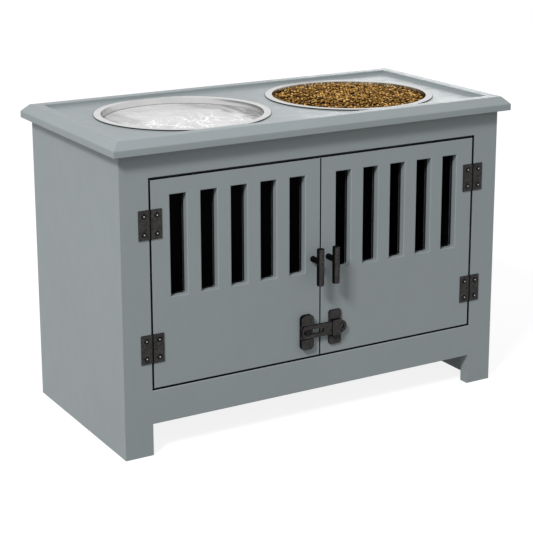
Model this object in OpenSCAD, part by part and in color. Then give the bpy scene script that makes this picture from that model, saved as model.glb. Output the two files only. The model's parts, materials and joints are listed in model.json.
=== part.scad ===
// Raised pet feeder: a low painted cabinet with two slotted doors and two drop-in bowls.
// Millimetres. +Z is up and the doors face -Y. The origin is on the floor, under the
// middle of the whole object's box, pulls included.
// Pieces are drawn with y = 0 on the face of the doors and stiles, then moved by placed().

/* [Cabinet] */
// Depth from the stiles' face to the side panels' back edge
cabinet_depth = 276; // [220:340]
// Height of the side panels and stiles
cabinet_height = 395; // [300:520]
// Thickness of sides, floor, stiles, rails and doors
board = 15; // [12:18]
// Width of each front stile
stile_width = 39; // [30:60]
// Height of the open space below the bottom rail
leg_clearance = 42; // [20:80]
// Height of the bottom rail
bottom_rail_height = 45; // [30:80]
// Height of the top rail
top_rail_height = 32.5; // [25:60]
// Height of the floor panel's upper face above the bottom rail
floor_step = 5; // [0:10]
// Thickness of the back panel
back_thickness = 9; // [5:12]
// Distance from the back panel to the side panels' back edge
back_inset = 5; // [0:20]
// Depth of the groove that holds the back panel
groove_depth = 6; // [3:8]
// Slack of the back panel in its groove, on each side
groove_slack = 0.15; // [0.1:0.05:0.5]

/* [Table top] */
// Width of the table top
top_width = 600; // [500:760]
// How far the table top reaches past each side panel
top_side_overhang = 12; // [0:30]
// How far the table top reaches past the stiles' face
top_front_overhang = 14; // [0:30]
// How far the table top reaches past the side panels' back edge
top_back_overhang = 10; // [0:30]
// Height of the square band round the edge
edge_band = 9; // [5:15]
// Height and width of the chamfer above the band
chamfer = 10; // [5:15]
// Width of the flat rim round the tray
rim_flat = 14.5; // [8:30]
// Depth of the tray below the rim
tray_depth = 5; // [2:8]

/* [Bowls] */
// Radius of the bowl at the outside of its rim
bowl_rim_radius = 118; // [90:125]
// Radius of the bowl's mouth
bowl_mouth_radius = 108; // [80:115]
// Inside depth of the bowl
bowl_depth = 76; // [40:100]
// Wall thickness of the bowl
bowl_wall = 1; // [0.8:0.1:2]
// Thickness of the bowl's rim
bowl_rim_thickness = 1.5; // [1:0.1:3]
// Lean of the bowl's wall from upright, in degrees
bowl_lean = 12; // [5:25]
// Radius between the bowl's wall and its bottom
bowl_corner = 24; // [10:35]
// Distance between the two bowls' centres
bowl_spacing = 262; // [240:300]
// Gap between a bowl's wall and the edge of its hole
bowl_hole_gap = 1.5; // [1:0.1:4]

/* [Doors] */
// Gap between a door and the stile or rail beside it
door_gap = 3; // [2:0.5:5]
// Gap between the two doors
middle_gap = 2; // [1:0.5:4]
// Number of slots in each door
slot_count = 5; // [3:7]
// Width of a slot
slot_width = 23.4; // [15:35]
// Height of a slot
slot_height = 131.4; // [80:180]
// Width of the softened edge round each slot
slot_edge = 0.8; // [0.4:0.1:2]
// Board left between the outermost slot and the hinged edge
slot_margin_hinge = 25.2; // [15:40]
// Board left between the innermost slot and the meeting edge
slot_margin_meeting = 21.9; // [15:40]
// Board left above the slots
slot_margin_top = 20.2; // [15:60]

/* [Hinges] */
// Height of a hinge
hinge_height = 38; // [25:60]
// Reach of one leaf from the pin's axis
leaf_reach = 16; // [12:25]
// Thickness of a leaf
leaf_thickness = 1.2; // [1:0.1:2]
// Thickness of the metal round the hinge pin
knuckle_wall = 1.05; // [0.8:0.05:2]
// Radius of the hinge pin
hinge_pin_radius = 1.3; // [1:0.1:2]
// Gap between the knuckles and the face of the door
knuckle_off_face = 0.2; // [0.1:0.1:1]
// Height of a lower hinge's middle above the door's bottom edge
lower_hinge_rise = 53; // [30:80]
// Distance of an upper hinge's middle below the door's top edge
upper_hinge_drop = 55.5; // [30:80]
// Distance from a leaf's outer edge to its screws
screw_from_leaf_edge = 7; // [5:9]
// Distance from a leaf's end to its screws
screw_from_leaf_end = 7.4; // [5:10]

/* [Pulls] */
// Radius of the pull's bar
pull_radius = 5; // [3:8]
// Length of the pull's bar
pull_length = 50; // [40:90]
// Distance from the door's face to the bar's axis
pull_standoff = 19.5; // [14:30]
// Radius of the pull's post
post_radius = 4; // [3:6]
// Distance of the post below the door's top edge
post_drop = 134.5; // [100:180]
// Height of the post above the bar's middle
post_above_middle = 6.7; // [0:12]
// Distance from the door's meeting edge to the bar's axis
pull_from_edge = 11; // [8:30]

/* [Latch] */
// Height of the latch bar's middle above the door's bottom edge
latch_rise = 36; // [30:80]
// Width of the housing and of the keeper
latch_plate_width = 19; // [15:25]
// Height of the housing and of the keeper
latch_plate_height = 48; // [35:60]
// Distance from the door's meeting edge to the housing or keeper
latch_from_edge = 12; // [8:20]
// How far the housing stands out past the bar
housing_lip = 0.3; // [0:0.1:1]
// Thickness of the housing's floor under the bar
housing_floor = 3; // [2:0.5:4]
// Thickness of the keeper's plate
keeper_thickness = 2.5; // [1.5:0.5:4]
// Width of the latch bar
latch_bar_width = 17.8; // [12:20]
// Thickness of the latch bar
latch_bar_thickness = 2.5; // [1.5:0.5:4]
// How far the bar's tip reaches past the strap when shut
tip_reach = 10.5; // [9:15]
// Distance from the bar's tail to the housing's far edge when shut
tail_inset = 1; // [0:3]
// Width of the long slot in the bar
latch_slot_width = 6.6; // [5:0.1:8]
// Metal left between the slot and the bar's tail
latch_slot_wall = 2.5; // [2:0.5:4]
// Radius of the rivet's shank
rivet_radius = 2; // [1.5:0.1:3]
// Radius of the rivet's head
rivet_head_radius = 4; // [3.5:0.1:6]
// Radius of the eye in the bar's tip
eye_radius = 3; // [2:0.1:4]
// Distance from the bar's tip to the eye's centre
eye_from_tip = 7; // [5:9]
// Distance from the keeper's near edge to the strap
strap_inset = 2.5; // [0:4]
// Width of the strap
strap_width = 12.5; // [8:14]
// Thickness of the strap
strap_thickness = 2; // [1.5:0.1:3]

/* [Fasteners] */
// Radius of a hinge screw's head
hinge_head_radius = 3.3; // [2.5:0.1:4]
// Height of a hinge screw's head
hinge_head_height = 1.5; // [1:0.1:2]
// Radius of a wood screw's shank
screw_radius = 1.4; // [1:0.1:2]
// Depth of a wood screw in the board
screw_depth = 11; // [8:13]
// Radius of a dowel
dowel_radius = 4; // [3:5]
// Length of a dowel
dowel_length = 30; // [20:40]
// Distance of the outer dowels and back screws from the ends of what they hold
fastener_margin = 45; // [30:60]
// Radial slack of screws, dowels and fixed pins in their holes
fixed_slack = 0.05; // [0.02:0.01:0.1]
// Radial running clearance of the hinge pins and the rivet
running_slack = 0.05; // [0.03:0.01:0.1]

/* [Output] */
// The piece to draw

/* [Hidden] */

paint = [0.53, 0.57, 0.57];
black = [0.16, 0.16, 0.17];
steel = [0.78, 0.79, 0.80];
beech = [0.80, 0.66, 0.46];
through = 1;

half_width = top_width / 2 - top_side_overhang;
side_inner = half_width - board;
stile_inner = half_width - stile_width;
rail_top_of_bottom = leg_clearance + bottom_rail_height;
rail_bottom_of_top = cabinet_height - top_rail_height;
floor_top = rail_top_of_bottom + floor_step;
floor_middle = floor_top - board / 2;
back_front_face = cabinet_depth - back_inset - back_thickness;

pull_front = pull_standoff + pull_radius;
front_reach = max(pull_front, top_front_overhang);
back_reach = cabinet_depth + top_back_overhang;
face_y = -(back_reach - front_reach) / 2;

top_height = edge_band + chamfer;
top_depth = cabinet_depth + top_front_overhang + top_back_overhang;
top_middle_y = (cabinet_depth + top_back_overhang - top_front_overhang) / 2;
tray_margin = chamfer + rim_flat;
tray_z = cabinet_height + top_height - tray_depth;
bowl_rim_z = tray_z + bowl_rim_thickness;
bowl_hole_radius = bowl_mouth_radius + bowl_wall + bowl_hole_gap;

door_outer = stile_inner - door_gap;
door_inner = middle_gap / 2;
door_width = door_outer - door_inner;
door_bottom = rail_top_of_bottom + door_gap;
door_top = rail_bottom_of_top - door_gap;
slot_band = door_width - slot_margin_hinge - slot_margin_meeting;
slot_pitch = (slot_band - slot_width - 2 * slot_edge) / (slot_count - 1);
slot_first = -door_outer + slot_margin_hinge + slot_edge + slot_width / 2;
slot_middle_z = door_top - slot_margin_top - slot_edge - slot_height / 2;

pin_x = stile_inner - door_gap / 2;
lower_hinge_z = door_bottom + lower_hinge_rise;
upper_hinge_z = door_top - upper_hinge_drop;
knuckle_radius = hinge_pin_radius + running_slack + knuckle_wall;
pin_standoff = knuckle_radius + knuckle_off_face;
screw_offset_x = leaf_reach - screw_from_leaf_edge;
screw_offset_z = hinge_height / 2 - screw_from_leaf_end;
knuckle_count = 5;
knuckle_gap = 0.2;
knuckle_pitch = hinge_height / knuckle_count;
knuckle_clear = 0.3;
leaf_from_axis = 0.6;
pilot_radius = screw_radius + fixed_slack;
leaf_hole_slack = 0.2;
leaf_hole_radius = screw_radius + leaf_hole_slack;

pull_x = door_inner + pull_from_edge;
post_z = door_top - post_drop;
pull_z = post_z - post_above_middle;
pull_screw_radius = 2;
pull_screw_grip = 8;
pull_hole_end_slack = 1;
pull_screw_head_radius = 4;
pull_screw_head_height = 2.4;
pull_edge = 0.6;

latch_z = door_bottom + latch_rise;
latch_plate_x = door_inner + latch_from_edge;
plate_middle_x = latch_plate_x + latch_plate_width / 2;
strap_x = latch_plate_x + strap_inset;
latch_tip = strap_x + strap_width + tip_reach;
latch_tail = latch_plate_x + latch_plate_width - tail_inset;
latch_slot_end = latch_tail - latch_slot_wall;
rivet_x = plate_middle_x;
latch_play = 0.2;
latch_open_margin = 0.5;
latch_travel = latch_tip - strap_x + latch_open_margin;
latch_back = housing_floor + latch_play;
latch_front = latch_back + latch_bar_thickness;
housing_thickness = latch_front + housing_lip;
channel_clear = 1;
channel_height = latch_bar_width + 2 * channel_clear;
latch_end_slack = 0.3;
latch_slot_length = latch_slot_end - rivet_x + rivet_radius + latch_travel + latch_end_slack;
tail_corner = 6;
housing_corner = 6;
keeper_corner = 3.5;
rivet_head_height = 1;
strap_clear = 0.5;
strap_height = latch_bar_width + 2 * strap_clear;
strap_back = latch_front + strap_clear;
strap_front = strap_back + strap_thickness;
strap_bend = 1.6;
sink_radius = 2.9;
sink_depth = 1.5;
plate_screw_from_end = 5;
plate_screw_z = latch_plate_height / 2 - plate_screw_from_end;
plate_screw_depth = 10;

dowel_hole_radius = dowel_radius + fixed_slack;
dowel_in_side = 10;
dowel_in_top = 9;
dowel_end_slack = 1;
dowel_in_board = dowel_length - dowel_in_top + dowel_end_slack;
dowel_in_floor = dowel_length - dowel_in_side + dowel_end_slack;
dowel_ys = [board + fastener_margin, back_front_face - fastener_margin];
rail_middles = [leg_clearance + bottom_rail_height / 2, cabinet_height - top_rail_height / 2];
back_screw_reach = side_inner - fastener_margin;
back_screw_xs = [for (i = [-3, -1, 1, 3]) i * back_screw_reach / 3];
back_screw_length = 26;

module placed() {
    translate([0, face_y, 0])
        children();
}

// Board from one corner to the other
module block(low, high) {
    translate(low)
        cube(high - low);
}

// Round rod along X, Y or Z, from a start point
module rod_x(start, radius, length) {
    translate(start)
        rotate([0, 90, 0])
            cylinder(r = radius, h = length, $fn = 48);
}

module rod_y(start, radius, length) {
    translate(start)
        rotate([-90, 0, 0])
            cylinder(r = radius, h = length, $fn = 48);
}

module rod_z(start, radius, length) {
    translate(start)
        cylinder(r = radius, h = length, $fn = 48);
}

// Four-sided block whose lower face is wide and whose upper face is narrow, rising along Z
module taper(low_x, low_y, high_x, high_y, height) {
    polyhedron(
        points = [
            [-low_x, -low_y, 0], [low_x, -low_y, 0], [low_x, low_y, 0], [-low_x, low_y, 0],
            [-high_x, -high_y, height], [high_x, -high_y, height],
            [high_x, high_y, height], [-high_x, high_y, height]
        ],
        faces = [
            [0, 1, 2, 3], [7, 6, 5, 4], [0, 4, 5, 1],
            [1, 5, 6, 2], [2, 6, 7, 3], [3, 7, 4, 0]
        ]
    );
}

// ---- fasteners ----

// Domed wood screw pointing along +Y, with its head's underside at y = 0
module domed_screw() {
    dome_steps = 6;
    rotate([-90, 0, 0])
        rotate_extrude($fn = 48)
            polygon(concat(
                [[0, screw_depth], [screw_radius, screw_depth], [screw_radius, 0], [hinge_head_radius, 0]],
                [for (i = [1:dome_steps])
                    [
                        hinge_head_radius * cos(90 * i / dome_steps),
                        -hinge_head_height * sin(90 * i / dome_steps)
                    ]
                ]
            ));
}

// Countersunk screw pointing along +Y, with the top of its head at y = 0
module sunk_screw(length) {
    rotate([-90, 0, 0])
        rotate_extrude($fn = 48)
            polygon([
                [0, 0], [sink_radius, 0], [screw_radius, sink_depth],
                [screw_radius, length], [0, length]
            ]);
}

// Space that a countersunk screw needs
module sunk_screw_hole(length) {
    rotate([-90, 0, 0])
        rotate_extrude($fn = 48)
            polygon([
                [0, -through], [sink_radius + fixed_slack, -through], [sink_radius + fixed_slack, 0],
                [pilot_radius, sink_depth], [pilot_radius, length], [0, length]
            ]);
}

// ---- cabinet ----

module side_board() {
    difference() {
        block([-half_width, board, 0], [-side_inner, cabinet_depth, cabinet_height]);
        block(
            [-side_inner - groove_depth, back_front_face - groove_slack, leg_clearance - groove_slack],
            [-side_inner + through, back_front_face + back_thickness + groove_slack, cabinet_height + through]
        );
        for (y = dowel_ys)
            rod_x(
                [-side_inner - dowel_in_side - dowel_end_slack, y, floor_middle],
                dowel_hole_radius, dowel_in_side + dowel_end_slack + through
            );
        for (y = dowel_ys)
            rod_z(
                [-half_width + board / 2, y, cabinet_height - dowel_in_board],
                dowel_hole_radius, dowel_in_board + through
            );
    }
}

module stile_board() {
    difference() {
        block([-half_width, 0, 0], [-stile_inner, board, cabinet_height]);
        for (z = rail_middles)
            rod_x(
                [-stile_inner - dowel_length / 2 - dowel_end_slack, board / 2, z],
                dowel_hole_radius, dowel_length
            );
        for (z = [lower_hinge_z, upper_hinge_z], side = [-1, 1])
            rod_y(
                [-pin_x - screw_offset_x, -through, z + side * screw_offset_z],
                pilot_radius, screw_depth + through
            );
    }
}

module rail_board(bottom, top, middle) {
    difference() {
        block([-stile_inner, 0, bottom], [stile_inner, board, top]);
        for (side = [-1, 1])
            rod_x(
                [side * stile_inner - dowel_length / 2 - dowel_end_slack, board / 2, middle],
                dowel_hole_radius, dowel_length + 2 * dowel_end_slack
            );
    }
}

module side_panel_left() {
    color(paint)
        placed()
            side_board();
}

module side_panel_right() {
    color(paint)
        placed()
            mirror([1, 0, 0])
                side_board();
}

module stile_left() {
    color(paint)
        placed()
            stile_board();
}

module stile_right() {
    color(paint)
        placed()
            mirror([1, 0, 0])
                stile_board();
}

module top_rail() {
    color(paint)
        placed()
            rail_board(rail_bottom_of_top, cabinet_height, rail_middles[1]);
}

module bottom_rail() {
    color(paint)
        placed()
            rail_board(leg_clearance, rail_top_of_bottom, rail_middles[0]);
}

module floor_panel() {
    color(paint)
        placed()
            difference() {
                block([-side_inner, board, floor_top - board], [side_inner, back_front_face, floor_top]);
                for (y = dowel_ys, side = [-1, 1])
                    rod_x(
                        [side * side_inner - dowel_in_floor, y, floor_middle],
                        dowel_hole_radius, 2 * dowel_in_floor
                    );
                for (x = back_screw_xs)
                    rod_y(
                        [x, back_front_face - back_screw_length, floor_middle],
                        pilot_radius, back_screw_length + through
                    );
            }
}

module back_panel() {
    reach = side_inner + groove_depth - 2 * groove_slack;
    color(paint)
        placed()
            difference() {
                block(
                    [-reach, back_front_face, leg_clearance],
                    [reach, back_front_face + back_thickness, cabinet_height]
                );
                for (x = back_screw_xs)
                    translate([x, back_front_face + back_thickness, floor_middle])
                        mirror([0, 1, 0])
                            sunk_screw_hole(back_thickness + through);
            }
}

module back_screws() {
    color(black)
        placed()
            for (x = back_screw_xs)
                translate([x, back_front_face + back_thickness, floor_middle])
                    mirror([0, 1, 0])
                        sunk_screw(back_screw_length);
}

module floor_dowels() {
    color(beech)
        placed()
            for (y = dowel_ys, side = [-1, 1])
                rod_x(
                    [
                        side * (side_inner + dowel_in_side - dowel_length / 2) - dowel_length / 2,
                        y, floor_middle
                    ],
                    dowel_radius, dowel_length
                );
}

module top_dowels() {
    color(beech)
        placed()
            for (y = dowel_ys, side = [-1, 1])
                rod_z(
                    [side * (half_width - board / 2), y, cabinet_height + dowel_in_top - dowel_length],
                    dowel_radius, dowel_length
                );
}

module rail_dowels() {
    short_length = dowel_length - 2 * dowel_end_slack;
    color(beech)
        placed()
            for (z = rail_middles, side = [-1, 1])
                rod_x(
                    [side * stile_inner - short_length / 2, board / 2, z],
                    dowel_radius, short_length
                );
}

// ---- table top ----

module table_top() {
    half_x = top_width / 2;
    half_y = top_depth / 2;
    color(paint)
        placed()
            difference() {
                translate([0, top_middle_y, cabinet_height])
                    union() {
                        taper(half_x, half_y, half_x, half_y, edge_band);
                        translate([0, 0, edge_band])
                            taper(half_x, half_y, half_x - chamfer, half_y - chamfer, chamfer);
                    }
                block(
                    [tray_margin - half_x, tray_margin - half_y + top_middle_y, tray_z],
                    [
                        half_x - tray_margin, half_y - tray_margin + top_middle_y,
                        cabinet_height + top_height + through
                    ]
                );
                for (side = [-1, 1])
                    translate([side * bowl_spacing / 2, top_middle_y, cabinet_height - through])
                        cylinder(r = bowl_hole_radius, h = top_height + 2 * through, $fn = 144);
                for (y = dowel_ys, side = [-1, 1])
                    rod_z(
                        [side * (half_width - board / 2), y, cabinet_height - through],
                        dowel_hole_radius, dowel_in_top + dowel_end_slack + through
                    );
            }
}

// ---- bowls ----

// Points of a round corner, as [radius, height]
function arc(centre, radius, from, to, steps) = [
    for (i = [0:steps])
        centre + radius * [cos(from + (to - from) * i / steps), sin(from + (to - from) * i / steps)]
];

module bowl() {
    run = (bowl_depth - bowl_corner + bowl_corner * sin(bowl_lean)) / cos(bowl_lean);
    corner = [
        bowl_mouth_radius - run * sin(bowl_lean) - bowl_corner * cos(bowl_lean),
        bowl_corner - bowl_depth
    ];
    steps = 10;
    edge = 0.5;
    outer_radius = bowl_corner + bowl_wall;
    // Where the outside of the wall meets the rim's underside
    drop = (bowl_rim_thickness * cos(bowl_lean) + bowl_wall * sin(bowl_lean)) / cos(bowl_lean);
    shoulder = bowl_mouth_radius + bowl_wall / cos(bowl_lean) - bowl_rim_thickness * tan(bowl_lean);
    rotate_extrude($fn = 144)
        polygon(concat(
            [[0, -bowl_depth]],
            arc(corner, bowl_corner, -90, -bowl_lean, steps),
            [
                [bowl_mouth_radius, 0],
                [bowl_rim_radius - edge, 0],
                [bowl_rim_radius, -edge],
                [bowl_rim_radius, -bowl_rim_thickness],
                [shoulder, -bowl_rim_thickness]
            ],
            arc(corner, outer_radius, -bowl_lean, -90, steps),
            [[0, -bowl_depth - bowl_wall]]
        ));
}

module bowl_left() {
    color(steel)
        placed()
            translate([-bowl_spacing / 2, top_middle_y, bowl_rim_z])
                bowl();
}

module bowl_right() {
    color(steel)
        placed()
            translate([bowl_spacing / 2, top_middle_y, bowl_rim_z])
                bowl();
}

// ---- doors ----

// Left door. plate_screw_x is where the latch screws enter, measured from the middle.
module door_board(plate_screw_x) {
    difference() {
        block([-door_outer, 0, door_bottom], [-door_inner, board, door_top]);
        for (i = [0:slot_count - 1])
            translate([slot_first + i * slot_pitch, 0, slot_middle_z]) {
                translate([-slot_width / 2, -through, -slot_height / 2])
                    cube([slot_width, board + 2 * through, slot_height]);
                for (face = [0, 1])
                    translate([0, face * board, 0])
                        mirror([0, face, 0])
                            rotate([-90, 0, 0])
                                taper(
                                    slot_width / 2 + slot_edge, slot_height / 2 + slot_edge,
                                    slot_width / 2, slot_height / 2, slot_edge
                                );
            }
        for (z = [lower_hinge_z, upper_hinge_z], side = [-1, 1])
            rod_y(
                [-pin_x + screw_offset_x, -through, z + side * screw_offset_z],
                pilot_radius, screw_depth + through
            );
        for (side = [-1, 1])
            rod_y(
                [-plate_screw_x, -through, latch_z + side * plate_screw_z],
                pilot_radius, plate_screw_depth + through
            );
        rod_y([-pull_x, -through, post_z], pull_screw_radius + fixed_slack, board + 2 * through);
    }
}

module door_left() {
    color(paint)
        placed()
            door_board(plate_middle_x);
}

module door_right() {
    color(paint)
        placed()
            mirror([1, 0, 0])
                door_board(plate_middle_x);
}

// ---- hinges ----

// One leaf of a left-hand hinge, with its axis at x = 0 and its middle at z = 0.
// side is -1 for the stile's leaf and 1 for the door's leaf.
module leaf(side, own_first, own_count, bore) {
    half = hinge_height / 2;
    difference() {
        union() {
            difference() {
                block(
                    [side > 0 ? leaf_from_axis : -leaf_reach, -leaf_thickness, -half],
                    [side > 0 ? leaf_reach : -leaf_from_axis, 0, half]
                );
                for (i = [0:knuckle_count - 1])
                    if (i % 2 != own_first)
                        rod_z(
                            [0, -pin_standoff, -half + i * knuckle_pitch - knuckle_gap / 2],
                            knuckle_radius + knuckle_clear, knuckle_pitch + knuckle_gap
                        );
            }
            for (i = [0:own_count - 1])
                rod_z(
                    [0, -pin_standoff, -half + (own_first + 2 * i) * knuckle_pitch + knuckle_gap / 2],
                    knuckle_radius, knuckle_pitch - knuckle_gap
                );
        }
        rod_z([0, -pin_standoff, -half - through], bore, hinge_height + 2 * through);
        for (z = [-1, 1])
            rod_y(
                [side * screw_offset_x, -leaf_thickness - through, z * screw_offset_z],
                leaf_hole_radius, leaf_thickness + 2 * through
            );
    }
}

module at_hinge(z, right) {
    placed()
        mirror([right ? 1 : 0, 0, 0])
            translate([-pin_x, 0, z])
                children();
}

module frame_leaf(z, right) {
    color(black)
        at_hinge(z, right)
            leaf(-1, 0, 3, hinge_pin_radius + fixed_slack);
}

module door_leaf(z, right) {
    color(black)
        at_hinge(z, right)
            leaf(1, 1, 2, hinge_pin_radius + running_slack);
}

module hinge_pin(z, right) {
    color(black)
        at_hinge(z, right)
            rod_z([0, -pin_standoff, -hinge_height / 2], hinge_pin_radius, hinge_height);
}

module leaf_screws(z, right, side) {
    at_hinge(z, right)
        for (up = [-1, 1])
            translate([side * screw_offset_x, -leaf_thickness, up * screw_offset_z])
                domed_screw();
}

module hinge_frame_leaf_left_upper() {
    frame_leaf(upper_hinge_z, false);
}

module hinge_frame_leaf_left_lower() {
    frame_leaf(lower_hinge_z, false);
}

module hinge_frame_leaf_right_upper() {
    frame_leaf(upper_hinge_z, true);
}

module hinge_frame_leaf_right_lower() {
    frame_leaf(lower_hinge_z, true);
}

module hinge_door_leaf_left_upper() {
    door_leaf(upper_hinge_z, false);
}

module hinge_door_leaf_left_lower() {
    door_leaf(lower_hinge_z, false);
}

module hinge_door_leaf_right_upper() {
    door_leaf(upper_hinge_z, true);
}

module hinge_door_leaf_right_lower() {
    door_leaf(lower_hinge_z, true);
}

module hinge_pin_left_upper() {
    hinge_pin(upper_hinge_z, false);
}

module hinge_pin_left_lower() {
    hinge_pin(lower_hinge_z, false);
}

module hinge_pin_right_upper() {
    hinge_pin(upper_hinge_z, true);
}

module hinge_pin_right_lower() {
    hinge_pin(lower_hinge_z, true);
}

module hinge_screws_frame() {
    color(black)
        for (z = [lower_hinge_z, upper_hinge_z], right = [false, true])
            leaf_screws(z, right, -1);
}

module hinge_screws_door_left() {
    color(black)
        for (z = [lower_hinge_z, upper_hinge_z])
            leaf_screws(z, false, 1);
}

module hinge_screws_door_right() {
    color(black)
        for (z = [lower_hinge_z, upper_hinge_z])
            leaf_screws(z, true, 1);
}

// ---- pulls ----

// Left pull: one bar with an off-centre post
module pull() {
    half = pull_length / 2;
    difference() {
        union() {
            translate([-pull_x, -pull_standoff, pull_z])
                rotate_extrude($fn = 64)
                    polygon([
                        [0, -half], [pull_radius - pull_edge, -half], [pull_radius, pull_edge - half],
                        [pull_radius, half - pull_edge], [pull_radius - pull_edge, half], [0, half]
                    ]);
            rod_y([-pull_x, -pull_standoff, post_z], post_radius, pull_standoff);
        }
        rod_y(
            [-pull_x, -pull_screw_grip - pull_hole_end_slack, post_z],
            pull_screw_radius + fixed_slack, 2 * pull_screw_grip
        );
    }
}

module pull_screw() {
    rod_y([-pull_x, -pull_screw_grip, post_z], pull_screw_radius, board + pull_screw_grip);
    rod_y([-pull_x, board, post_z], pull_screw_head_radius, pull_screw_head_height);
}

module pull_left() {
    color(black)
        placed()
            pull();
}

module pull_right() {
    color(black)
        placed()
            mirror([1, 0, 0])
                pull();
}

module pull_screw_left() {
    color(steel)
        placed()
            pull_screw();
}

module pull_screw_right() {
    color(steel)
        placed()
            mirror([1, 0, 0])
                pull_screw();
}

// ---- latch ----

// Flat outline with round corners, its middle at the origin
module rounded(width, height, corner) {
    square([width - 2 * corner, height], center = true);
    square([width, height - 2 * corner], center = true);
    for (x = [-1, 1], y = [-1, 1])
        translate([x * (width / 2 - corner), y * (height / 2 - corner)])
            circle(r = corner, $fn = 48);
}

// Flat plate standing upright from the door's face to y = -thickness
module upright_plate(corner, thickness) {
    rotate([90, 0, 0])
        linear_extrude(height = thickness)
            rounded(latch_plate_width, latch_plate_height, corner);
}

module plate_screws(thickness) {
    for (side = [-1, 1])
        translate([0, -thickness, side * plate_screw_z])
            sunk_screw(thickness + plate_screw_depth - through);
}

module plate_screw_holes(thickness) {
    for (side = [-1, 1])
        translate([0, -thickness, side * plate_screw_z])
            sunk_screw_hole(thickness + through);
}

module latch_housing() {
    color(black)
        placed()
            difference() {
                translate([-plate_middle_x, 0, latch_z])
                    difference() {
                        upright_plate(housing_corner, housing_thickness);
                        plate_screw_holes(housing_thickness);
                        block(
                            [-latch_plate_width, -housing_thickness - through, -channel_height / 2],
                            [latch_plate_width, -housing_floor, channel_height / 2]
                        );
                    }
                rod_y(
                    [-rivet_x, -housing_thickness, latch_z],
                    rivet_radius + fixed_slack, housing_thickness + through
                );
            }
}

module latch_housing_screws() {
    color(black)
        placed()
            translate([-plate_middle_x, 0, latch_z])
                plate_screws(housing_thickness);
}

module latch_rivet() {
    head_back = latch_front + latch_play;
    head_edge = 0.4;
    color(black)
        placed()
            translate([-rivet_x, 0, latch_z])
                rotate([90, 0, 0])
                    rotate_extrude($fn = 48)
                        polygon([
                            [0, latch_play], [rivet_radius, latch_play], [rivet_radius, head_back],
                            [rivet_head_radius, head_back],
                            [rivet_head_radius, head_back + rivet_head_height - head_edge],
                            [rivet_head_radius - head_edge, head_back + rivet_head_height],
                            [0, head_back + rivet_head_height]
                        ]);
}

module latch_bar() {
    half = latch_bar_width / 2;
    tail_length = latch_tail + latch_tip - half;
    slot_round = latch_slot_width / 2;
    slot_start = slot_round - latch_slot_end;
    slot_end = latch_slot_length - slot_round - latch_slot_end;
    color(black)
        placed()
            translate([0, -latch_back, latch_z])
                rotate([90, 0, 0])
                    linear_extrude(height = latch_bar_thickness)
                        difference() {
                            union() {
                                translate([latch_tip - half, 0])
                                    circle(r = half, $fn = 96);
                                translate([tail_length / 2 - latch_tail, 0])
                                    rounded(tail_length, latch_bar_width, tail_corner);
                                translate([latch_tip - half - tail_corner, -half])
                                    square([tail_corner, latch_bar_width]);
                            }
                            translate([latch_tip - eye_from_tip, 0])
                                circle(r = eye_radius, $fn = 48);
                            translate([slot_start, -slot_round])
                                square([slot_end - slot_start, latch_slot_width]);
                            for (x = [slot_start, slot_end])
                                translate([x, 0])
                                    circle(r = slot_round, $fn = 48);
                        }
}

module latch_keeper() {
    color(black)
        placed()
            translate([0, 0, latch_z]) {
                translate([plate_middle_x, 0, 0])
                    difference() {
                        upright_plate(keeper_corner, keeper_thickness);
                        plate_screw_holes(keeper_thickness);
                    }
                translate([strap_x, 0, 0])
                    rotate([90, 0, 90])
                        linear_extrude(height = strap_width)
                            difference() {
                                translate([-strap_front / 2, 0])
                                    rounded(strap_front, strap_height + 2 * strap_thickness, strap_bend);
                                translate([-strap_back, -strap_height / 2])
                                    square([strap_back, strap_height]);
                                translate([-keeper_thickness, -strap_height])
                                    square([keeper_thickness, 2 * strap_height]);
                            }
            }
}

module latch_keeper_screws() {
    color(black)
        placed()
            translate([plate_middle_x, 0, latch_z])
                plate_screws(keeper_thickness);
}

side_panel_left();
side_panel_right();
stile_left();
stile_right();
top_rail();
bottom_rail();
floor_panel();
back_panel();
table_top();
floor_dowels();
top_dowels();
rail_dowels();
back_screws();
hinge_frame_leaf_left_upper();
hinge_frame_leaf_left_lower();
hinge_frame_leaf_right_upper();
hinge_frame_leaf_right_lower();
hinge_pin_left_upper();
hinge_pin_left_lower();
hinge_pin_right_upper();
hinge_pin_right_lower();
hinge_screws_frame();
door_left();
hinge_door_leaf_left_upper();
hinge_door_leaf_left_lower();
hinge_screws_door_left();
pull_left();
pull_screw_left();
latch_housing();
latch_housing_screws();
latch_rivet();
latch_bar();
door_right();
hinge_door_leaf_right_upper();
hinge_door_leaf_right_lower();
hinge_screws_door_right();
pull_right();
pull_screw_right();
latch_keeper();
latch_keeper_screws();
bowl_left();
bowl_right();
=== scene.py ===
"""Looks for the raised pet feeder: paint, steel, black hardware, water and dry food."""
import json
import math
import random

import bmesh
import bpy
from mathutils import Matrix, Vector, noise

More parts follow.
